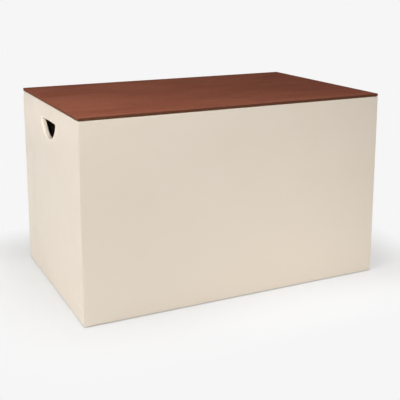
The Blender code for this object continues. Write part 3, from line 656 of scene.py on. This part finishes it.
def makeCleanUp(own):
    # joins the corners that the file format split and drops its flat shading
    tree, given, out = newGroup(
        "cleanUp", {"Geometry": "Geometry"}, {"Geometry": "Geometry"}, "GeometryNodeTree")
    inputs = {"Geometry": given["Geometry"], "Distance": own["joinWithin"]}
    joined = addNode(tree, "GeometryNodeMergeByDistance", inputs)
    inputs = {"Geometry": joined.outputs[0], "Name": "custom_normal"}
    putOut(tree, out, {"Geometry": addNode(tree, "GeometryNodeRemoveAttribute", inputs).outputs[0]})
    return tree


def makeSmoothing(own):
    # smooth across shallow edges, crisp across steep ones
    tree, given, out = newGroup(
        "smoothing", {"Geometry": "Geometry"}, {"Geometry": "Geometry"}, "GeometryNodeTree")
    angle = addNode(tree, "GeometryNodeInputMeshEdgeAngle").outputs["Unsigned Angle"]
    shallow = addNode(tree, "FunctionNodeCompare", operation="LESS_EQUAL", data_type="FLOAT")
    feed(tree, shallow.inputs["A"], angle)
    feed(tree, shallow.inputs["B"], own["smoothBelow"])
    inputs = {"Geometry": given["Geometry"], "Shade Smooth": True}
    faces = addNode(tree, "GeometryNodeSetShadeSmooth", inputs, domain="FACE")
    inputs = {"Geometry": faces.outputs[0], "Shade Smooth": shallow.outputs[0]}
    edges = addNode(tree, "GeometryNodeSetShadeSmooth", inputs, domain="EDGE")
    putOut(tree, out, {"Geometry": edges.outputs[0]})
    return tree


cleanUp = makeCleanUp(shading)
smoothing = makeSmoothing(shading)


def addModifier(piece, name, kind, **settings):
    modifier = piece.modifiers.new(name, kind)
    for setting, value in settings.items():
        setattr(modifier, setting, value)


def shade(piece):
    addModifier(piece, "smoothing", "NODES", node_group=smoothing)
    addModifier(piece, "weights", "WEIGHTED_NORMAL", keep_sharp=True)


def refine(piece, own, easing):
    # eases the hard edges that a real piece has eased, and shades it as one surface
    addModifier(piece, "cleanUp", "NODES", node_group=cleanUp)
    if not piece.name.startswith("hinge"):      # its rolled knuckles keep their own facets
        addModifier(piece, "flats", "DECIMATE", decimate_type="DISSOLVE",
                    angle_limit=math.radians(own["flatWithin"]))
    if easing:
        addModifier(piece, "easing", "BEVEL", width=easing, segments=own["easeSegments"],
                    limit_method="ANGLE", angle_limit=math.radians(own["easeFrom"]),
                    use_clamp_overlap=True)
    shade(piece)


pressedSteel = {
    "pieces": ("stay_arm", "stay_link", "stay_base_plate", "stay_lid_bracket"),
    "easing": 0.00025,
}

for name, node in nodes.items():
    pressed = name.startswith(pressedSteel["pieces"])
    refine(node, shading, pressedSteel["easing"] if pressed else 0.0)
print("CAD pieces refined")


def turned(shape, profile, steps):
    # spins (radius, height) points about the Z axis, from the lower end to the upper one
    turns = [2 * math.pi * i / steps for i in range(steps)]
    rings = []
    for radius, height in profile:
        around = [(radius * math.cos(turn), radius * math.sin(turn), height) for turn in turns]
        rings.append([shape.verts.new(point) for point in (around if radius else around[:1])])
    for below, above in zip(rings, rings[1:]):
        for i in range(steps):
            j = (i + 1) % steps
            corners = [below[i % len(below)], below[j % len(below)],
                       above[j % len(above)], above[i % len(above)]]
            shape.faces.new(list(dict.fromkeys(corners)))
    return rings


def dome(radius, foot, land, rise, steps):
    # a low dome above a short upright land, from its rim to the axis
    turns = [math.radians(90 * i / steps) for i in range(steps)]
    crown = rise - land
    arc = [(radius * math.cos(turn), foot + land + crown * math.sin(turn)) for turn in turns]
    return [(radius, foot)] + arc + [(0.0, foot + rise)]


def flipped(profile):
    return [(radius, -height) for radius, height in reversed(profile)]


def sinkDrive(shape, rim, outline, depth, taper):
    # closes a head between its rim and the outline of its drive, and sinks the drive
    top = rim[0].co.z
    mouth = [shape.verts.new((x, y, top)) for x, y in outline]
    floor = [shape.verts.new((x * taper, y * taper, top - depth)) for x, y in outline]
    edges = [shape.edges.new((a, b)) for a, b in zip(mouth, mouth[1:] + mouth[:1])]
    edges += [shape.edges.get((a, b)) for a, b in zip(rim, rim[1:] + rim[:1])]
    bmesh.ops.triangle_fill(shape, use_beauty=True, edges=edges)
    for i in range(len(outline)):
        j = (i + 1) % len(outline)
        shape.faces.new((mouth[i], mouth[j], floor[j], floor[i]))
    shape.faces.new(floor)


def crossOutline(reach, half):
    quarter = [(reach, -half), (reach, half), (half, half)]
    points = []
    for turn in range(4):
        points += quarter
        quarter = [(-y, x) for x, y in quarter]
    return points


def hexOutline(reach):
    turns = [math.radians(60 * i) for i in range(6)]
    return [(reach * math.cos(turn), reach * math.sin(turn)) for turn in turns]


slotOf = {row["node"]: row["material_slot"] for row in frame["record"]["subparts"]}
bodyOf = {name: body for body, names in frame["record"]["behaviour"]["bodies"].items()
          for name in names}
inward = {"left": Vector((1.0, 0.0, 0.0)), "right": Vector((-1.0, 0.0, 0.0))}
up, down = Vector((0.0, 0.0, 1.0)), Vector((0.0, 0.0, -1.0))


def endOf(name, towards):
    # the middle of the node's end on the side it faces, its length and its largest radius
    low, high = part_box(name)
    middle, half = (low + high) / 2, (high - low) / 2
    length = 2 * abs(half.dot(towards))
    radius = max(half[i] for i in range(3) if not towards[i])
    return middle + towards * length / 2, length, radius


def finishPiece(name, shape, at, towards, turn=0.0):
    # stands a turned piece where its CAD node is, and takes over the node's body and finish
    bmesh.ops.recalc_face_normals(shape, faces=shape.faces)
    spin = Matrix.Rotation(turn, 4, "Z")
    stand = Matrix.Translation(at) @ towards.to_track_quat("Z", "Y").to_matrix().to_4x4()
    bmesh.ops.transform(shape, matrix=stand @ spin, verts=shape.verts)
    mesh = bpy.data.meshes.new(name + "_fine")
    shape.to_mesh(mesh)
    shape.free()
    piece = bpy.data.objects.new(name + "_fine", mesh)
    bpy.context.collection.objects.link(piece)
    slot = slotOf[name]
    mesh.materials.append(finishes[slot])
    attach(piece, bodyOf[name])
    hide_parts(name)
    shade(piece)


def turnPiece(name, profile, steps, at, towards):
    shape = bmesh.new()
    turned(shape, profile, steps)
    finishPiece(name, shape, at, towards)


woodScrew = {
    "hingePairs": 6,                # one in the box and one in the lid
    "hingeShank": 0.00115,          # radii
    "stayShank": 0.0018,
    "tip": ((0.35, 0.6), (1.0, 2.2)),   # radius and height of the point, in shank radii
    "headShare": 0.47,              # height of the countersunk head, over its radius
    "shy": 0.00012,                 # the head's rim is this much smaller than its countersink
    "rimRound": 0.00012,
    "crossReach": 0.58,             # shares of the head's radius
    "crossHalf": 0.13,
    "crossDepth": 0.34,
    "crossTaper": 0.60,
    "steps": 40,
    "firstTurn": 0.3,               # each screw stopped at its own angle
    "nextTurn": 0.83,
}


def makeScrew(name, towards, shank, own, turn):
    top, length, radius = endOf(name, towards)
    head = own["headShare"] * radius
    rim = radius - own["shy"]
    foot = own["rimRound"] + own["shy"]
    tip = [(share * shank, rise * shank - length) for share, rise in own["tip"]]
    profile = [(0.0, -length)] + tip + [
        (shank, -head), (rim, -foot), (rim, -own["rimRound"]), (rim - own["rimRound"], 0.0)]
    shape = bmesh.new()
    rings = turned(shape, profile, own["steps"])
    outline = crossOutline(own["crossReach"] * radius, own["crossHalf"] * radius)
    sinkDrive(shape, rings[-1], outline, own["crossDepth"] * radius, own["crossTaper"])
    finishPiece(name, shape, top, towards, turn)


screws = []
for pair in range(woodScrew["hingePairs"]):
    for leaf, towards in (("box", up), ("lid", down)):
        screws.append((f"hinge_{leaf}_screw_{pair + 1}", towards, "hingeShank"))
for side in ("left", "right"):
    for level in ("upper", "lower"):
        screws.append((f"stay_base_screw_{level}_{side}", inward[side], "stayShank"))
    for end in ("front", "back"):
        screws.append((f"stay_bracket_screw_{end}_{side}", down, "stayShank"))
driven = woodScrew["firstTurn"]
for name, towards, shank in screws:
    makeScrew(name, towards, woodScrew[shank], woodScrew, driven)
    driven += woodScrew["nextTurn"]
print("screws made:", len(screws))


stayRivet = {
    "shank": 0.0025,                # radius
    "headHeight": 0.0012,
    "land": 0.00025,
    "domeSteps": 6,
    "steps": 40,
}


def makeRivet(name, towards, own):
    # a plain shank with a low domed head on both ends
    top, length, radius = endOf(name, towards)
    neck = length / 2 - own["headHeight"]
    head = dome(radius, neck, own["land"], own["headHeight"], own["domeSteps"])
    profile = flipped(head) + [(own["shank"], -neck), (own["shank"], neck)] + head
    turnPiece(name, profile, own["steps"], top - towards * length / 2, towards)


stayShaft = {
    "shaft": 0.004,                 # radius
    "headHeight": 0.0012,
    "chamfer": 0.0004,
    "peenRadius": 0.0026,
    "peenRise": 0.0003,
    "dimpleRadius": 0.0009,
    "dimpleDepth": 0.0005,
    "steps": 48,
}


def makeShaft(name, towards, own):
    # the damper's shaft, riveted over the arm: a chamfered collar, a peened ring, a centre mark
    top, length, radius = endOf(name, towards)
    shaft, chamfer, rise = own["shaft"], own["chamfer"], own["peenRise"]
    profile = [
        (0.0, -length), (shaft - chamfer, -length), (shaft, chamfer - length),
        (shaft, -own["headHeight"]), (radius, -own["headHeight"]),
        (radius, -rise - chamfer), (radius - chamfer, -rise),
        (own["peenRadius"] + rise, -rise), (own["peenRadius"], 0.0),
        (own["dimpleRadius"], 0.0), (0.0, -own["dimpleDepth"])]
    turnPiece(name, profile, own["steps"], top, towards)


stayAdjuster = {
    "chamfer": 0.00035,
    "socket": 0.0018,
    "socketDepth": 0.003,
    "steps": 40,
    "turn": 0.4,
}


def makeAdjuster(name, towards, own):
    # the damper's grub screw, with a hexagon socket
    top, length, radius = endOf(name, towards)
    profile = [(0.0, -length), (radius, -length), (radius, -own["chamfer"]),
               (radius - own["chamfer"], 0.0)]
    shape = bmesh.new()
    rings = turned(shape, profile, own["steps"])
    sinkDrive(shape, rings[-1], hexOutline(own["socket"]), own["socketDepth"], 1.0)
    finishPiece(name, shape, top, towards, own["turn"])


for side in ("left", "right"):
    makeRivet(f"stay_elbow_rivet_{side}", inward[side], stayRivet)
    makeRivet(f"stay_lid_rivet_{side}", inward[side], stayRivet)
    makeShaft(f"stay_shaft_{side}", inward[side], stayShaft)
    makeAdjuster(f"stay_adjuster_{side}", inward[side], stayAdjuster)
print("rivets, shafts and adjusters made")


nailGlide = {
    "nail": 0.001,                  # radius
    "nailPoint": 0.0016,
    "thickness": 0.0027,
    "crown": 0.00025,
    "crownCurve": ((0.45, 0.12), (0.78, 0.55)),     # shares of the radius and of the crown
    "round": 0.0007,
    "footCut": 0.3,                 # shares of the round
    "topCut": 0.4,
    "steps": 56,
}


def makeGlide(name, own):
    # a nylon disc with a crowned foot and a rounded rim, on its nail
    top, length, radius = endOf(name, up)
    foot, soft = -length, own["round"]
    rim, face = foot + own["crown"], foot + own["thickness"]
    footCut, topCut = own["footCut"] * soft, own["topCut"] * soft
    crowned = [(share * radius, foot + rise * own["crown"]) for share, rise in own["crownCurve"]]
    profile = [(0.0, foot)] + crowned + [
        (radius - soft, rim), (radius - footCut, rim + footCut), (radius, rim + soft),
        (radius, face - topCut), (radius - topCut, face),
        (own["nail"], face), (own["nail"], -own["nailPoint"]), (0.0, 0.0)]
    turnPiece(name, profile, own["steps"], top, up)


rimBumper = {
    "stem": 0.002,                  # radius
    "stemTaper": 0.0006,
    "collar": 0.0014,
    "land": 0.0009,
    "domeSteps": 8,
    "steps": 40,
}


def makeBumper(name, own):
    # a soft button: a low dome that the lid rests on, over a plug in the rim
    top, length, radius = endOf(name, up)
    stem, taper, collar = own["stem"], own["stemTaper"], own["collar"]
    profile = [(0.0, -length), (stem - taper, -length), (stem, taper - length), (stem, -collar)]
    profile += dome(radius, -collar, own["land"], collar, own["domeSteps"])
    turnPiece(name, profile, own["steps"], top, up)


for side in ("left", "right"):
    makeBumper(f"lid_bumper_{side}", rimBumper)
    for end in ("front", "back"):
        makeGlide(f"glide_{end}_{side}", nailGlide)
print("glides and bumpers made")


room = {
    "background": (0.921, 0.921, 0.921),
    "floorColour": (0.800, 0.800, 0.800),       # what bounces off the floor
    "floorShown": (0.653, 0.653, 0.653),        # what is seen of it
    "floorSize": 40.0,
    # the lit floor turns into the plain background this far from the box, in metres,
    # and beside the box this share of it is plain already
    "plainFrom": 0.0,
    "plainTo": 0.28,
    "plainLeast": 0.30,
    "skyColour": (1.0, 1.0, 1.0),
    "skyLight": 0.48,
}


def lookedAt(tree):
    # 1 for what the camera, a gloss or a clear piece looks at
    path = addNode(tree, "ShaderNodeLightPath").outputs
    seen = maths(tree, "ADD", path["Is Camera Ray"], path["Is Glossy Ray"])
    return maths(tree, "ADD", seen, path["Is Transmission Ray"], clamp=True)


def plainShader(tree, kind, colour, **values):
    return addNode(tree, kind, {"Color": (*colour, 1.0), **values}).outputs[0]


def mixShaders(tree, share, first, second):
    return addNode(tree, "ShaderNodeMixShader", {0: share, 1: first, 2: second}).outputs[0]


def makeFloor(own):
    half = own["floorSize"] / 2
    shape = bmesh.new()
    corners = ((-half, -half), (half, -half), (half, half), (-half, half))
    shape.faces.new([shape.verts.new((x, y, 0.0)) for x, y in corners])
    mesh = bpy.data.meshes.new("floor")
    shape.to_mesh(mesh)
    shape.free()
    floor = bpy.data.objects.new("floor", mesh)
    bpy.context.collection.objects.link(floor)
    material, tree, surface = emptyMaterial("paleFloor")
    mesh.materials.append(material)
    bouncing = plainShader(tree, "ShaderNodeBsdfDiffuse", own["floorColour"])
    shown = plainShader(tree, "ShaderNodeBsdfDiffuse", own["floorShown"])
    plain = plainShader(tree, "ShaderNodeEmission", own["background"], Strength=1.0)
    clear = addNode(tree, "ShaderNodeBsdfTransparent").outputs[0]
    where = addNode(tree, "ShaderNodeNewGeometry").outputs
    boxEdge = (boxAtStart[1].x, boxAtStart[1].y, 0.0)
    past = vectorMaths(tree, "ABSOLUTE", where["Position"])["Vector"]
    past = vectorMaths(tree, "SUBTRACT", past, boxEdge)["Vector"]
    past = vectorMaths(tree, "MAXIMUM", past, (0.0, 0.0, 0.0))["Vector"]
    away = vectorMaths(tree, "LENGTH", past)["Value"]
    fade = spread(tree, away, own["plainFrom"], own["plainTo"], own["plainLeast"])
    seen = lookedAt(tree)
    lit = mixShaders(tree, seen, bouncing, shown)
    faded = mixShaders(tree, times(tree, fade, seen), lit, plain)
    tree.links.new(mixShaders(tree, where["Backfacing"], faded, clear), surface)


def makeWorld(own):
    world = bpy.data.worlds.new("studio")
    bpy.context.scene.world = world
    world.use_nodes = True
    tree = world.node_tree
    tree.nodes.clear()
    sky = plainShader(tree, "ShaderNodeBackground", own["skyColour"], Strength=own["skyLight"])
    shown = plainShader(tree, "ShaderNodeBackground", own["background"], Strength=1.0)
    surface = addNode(tree, "ShaderNodeOutputWorld").inputs["Surface"]
    tree.links.new(mixShaders(tree, lookedAt(tree), sky, shown), surface)


lamps = {
    # places and sizes are in metres, and spreads in degrees
    "overhead": {"at": (-0.60, -0.55, 1.25), "towards": (0.0, 0.0, 0.25), "size": (0.6, 0.6),
                 "spread": 180.0, "watts": 5.8},
    "overLid": {"at": (-0.45, -0.35, 1.00), "towards": (-0.3, -0.2, 0.4), "size": (0.4, 0.4),
                "spread": 180.0, "watts": 1.1},
    "side": {"at": (-2.4, -0.2, 0.8), "towards": (0.0, 0.0, 0.25), "size": (1.2, 1.2),
             "spread": 180.0, "watts": 9.1},
    # along the left wall, onto the far end of its hand hole
    "handHole": {"at": (-0.70, -1.6, 0.45), "towards": (-0.42, 0.03, 0.425), "size": (0.04, 0.04),
                 "spread": 4.5, "watts": 0.0125},
    "farSide": {"at": (2.3, 2.0, 0.24), "towards": (0.0, 0.0, 0.25), "size": (3.2, 0.44),
                "spread": 180.0, "watts": 27.0},
    # straight down on the floor beside the box
    "floorLeft": {"at": (-0.65, -0.65, 1.6), "towards": (-0.65, -0.65, 0.0), "size": (0.5, 0.25),
                  "spread": 45.0, "watts": 1.0},
    "floorRight": {"at": (0.21, -0.65, 1.6), "towards": (0.21, -0.65, 0.0), "size": (0.6, 0.25),
                   "spread": 45.0, "watts": 1.85},
    "floorSide": {"at": (-0.80, 0.0, 1.6), "towards": (-0.80, 0.0, 0.0), "size": (0.25, 0.6),
                  "spread": 45.0, "watts": 0.68},
    "floorBack": {"at": (-0.88, 0.35, 1.6), "towards": (-0.88, 0.35, 0.0), "size": (0.25, 0.4),
                  "spread": 45.0, "watts": 0.60},
    "floorFar": {"at": (0.85, 0.10, 1.6), "towards": (0.85, 0.10, 0.0), "size": (0.25, 0.6),
                 "spread": 45.0, "watts": 0.50},
}


def makeLamp(name, own):
    data = bpy.data.lights.new(name, "AREA")
    data.shape = "RECTANGLE"
    data.size, data.size_y = own["size"]
    data.spread = math.radians(own["spread"])
    data.energy = own["watts"]
    lamp = bpy.data.objects.new(name, data)
    bpy.context.collection.objects.link(lamp)
    lamp.location = own["at"]
    lamp.visible_camera = False
    away = Vector(own["at"]) - Vector(own["towards"])
    lamp.rotation_euler = away.to_track_quat("Z", "Y").to_euler()


cameraView = {
    "at": (-0.8714, -1.8233, 0.7853),
    "turn": -25.85,                 # degrees
    "down": 11.46,
    "lens": 69.48,                  # millimetres
    "sensor": 36.0,
    "shiftY": -0.175,
}


def makeCamera(own):
    data = bpy.data.cameras.new("camera")
    data.sensor_width = own["sensor"]
    data.lens = own["lens"]
    data.shift_y = own["shiftY"]
    camera = bpy.data.objects.new("camera", data)
    bpy.context.collection.objects.link(camera)
    camera.location = own["at"]
    camera.rotation_euler = (math.radians(90.0 - own["down"]), 0.0, math.radians(own["turn"]))
    bpy.context.scene.camera = camera


makeFloor(room)
makeWorld(room)
for lampName, lampValues in lamps.items():
    makeLamp(lampName, lampValues)
makeCamera(cameraView)
bpy.context.scene.view_settings.view_transform = "Standard"
print("room, light and camera ready")
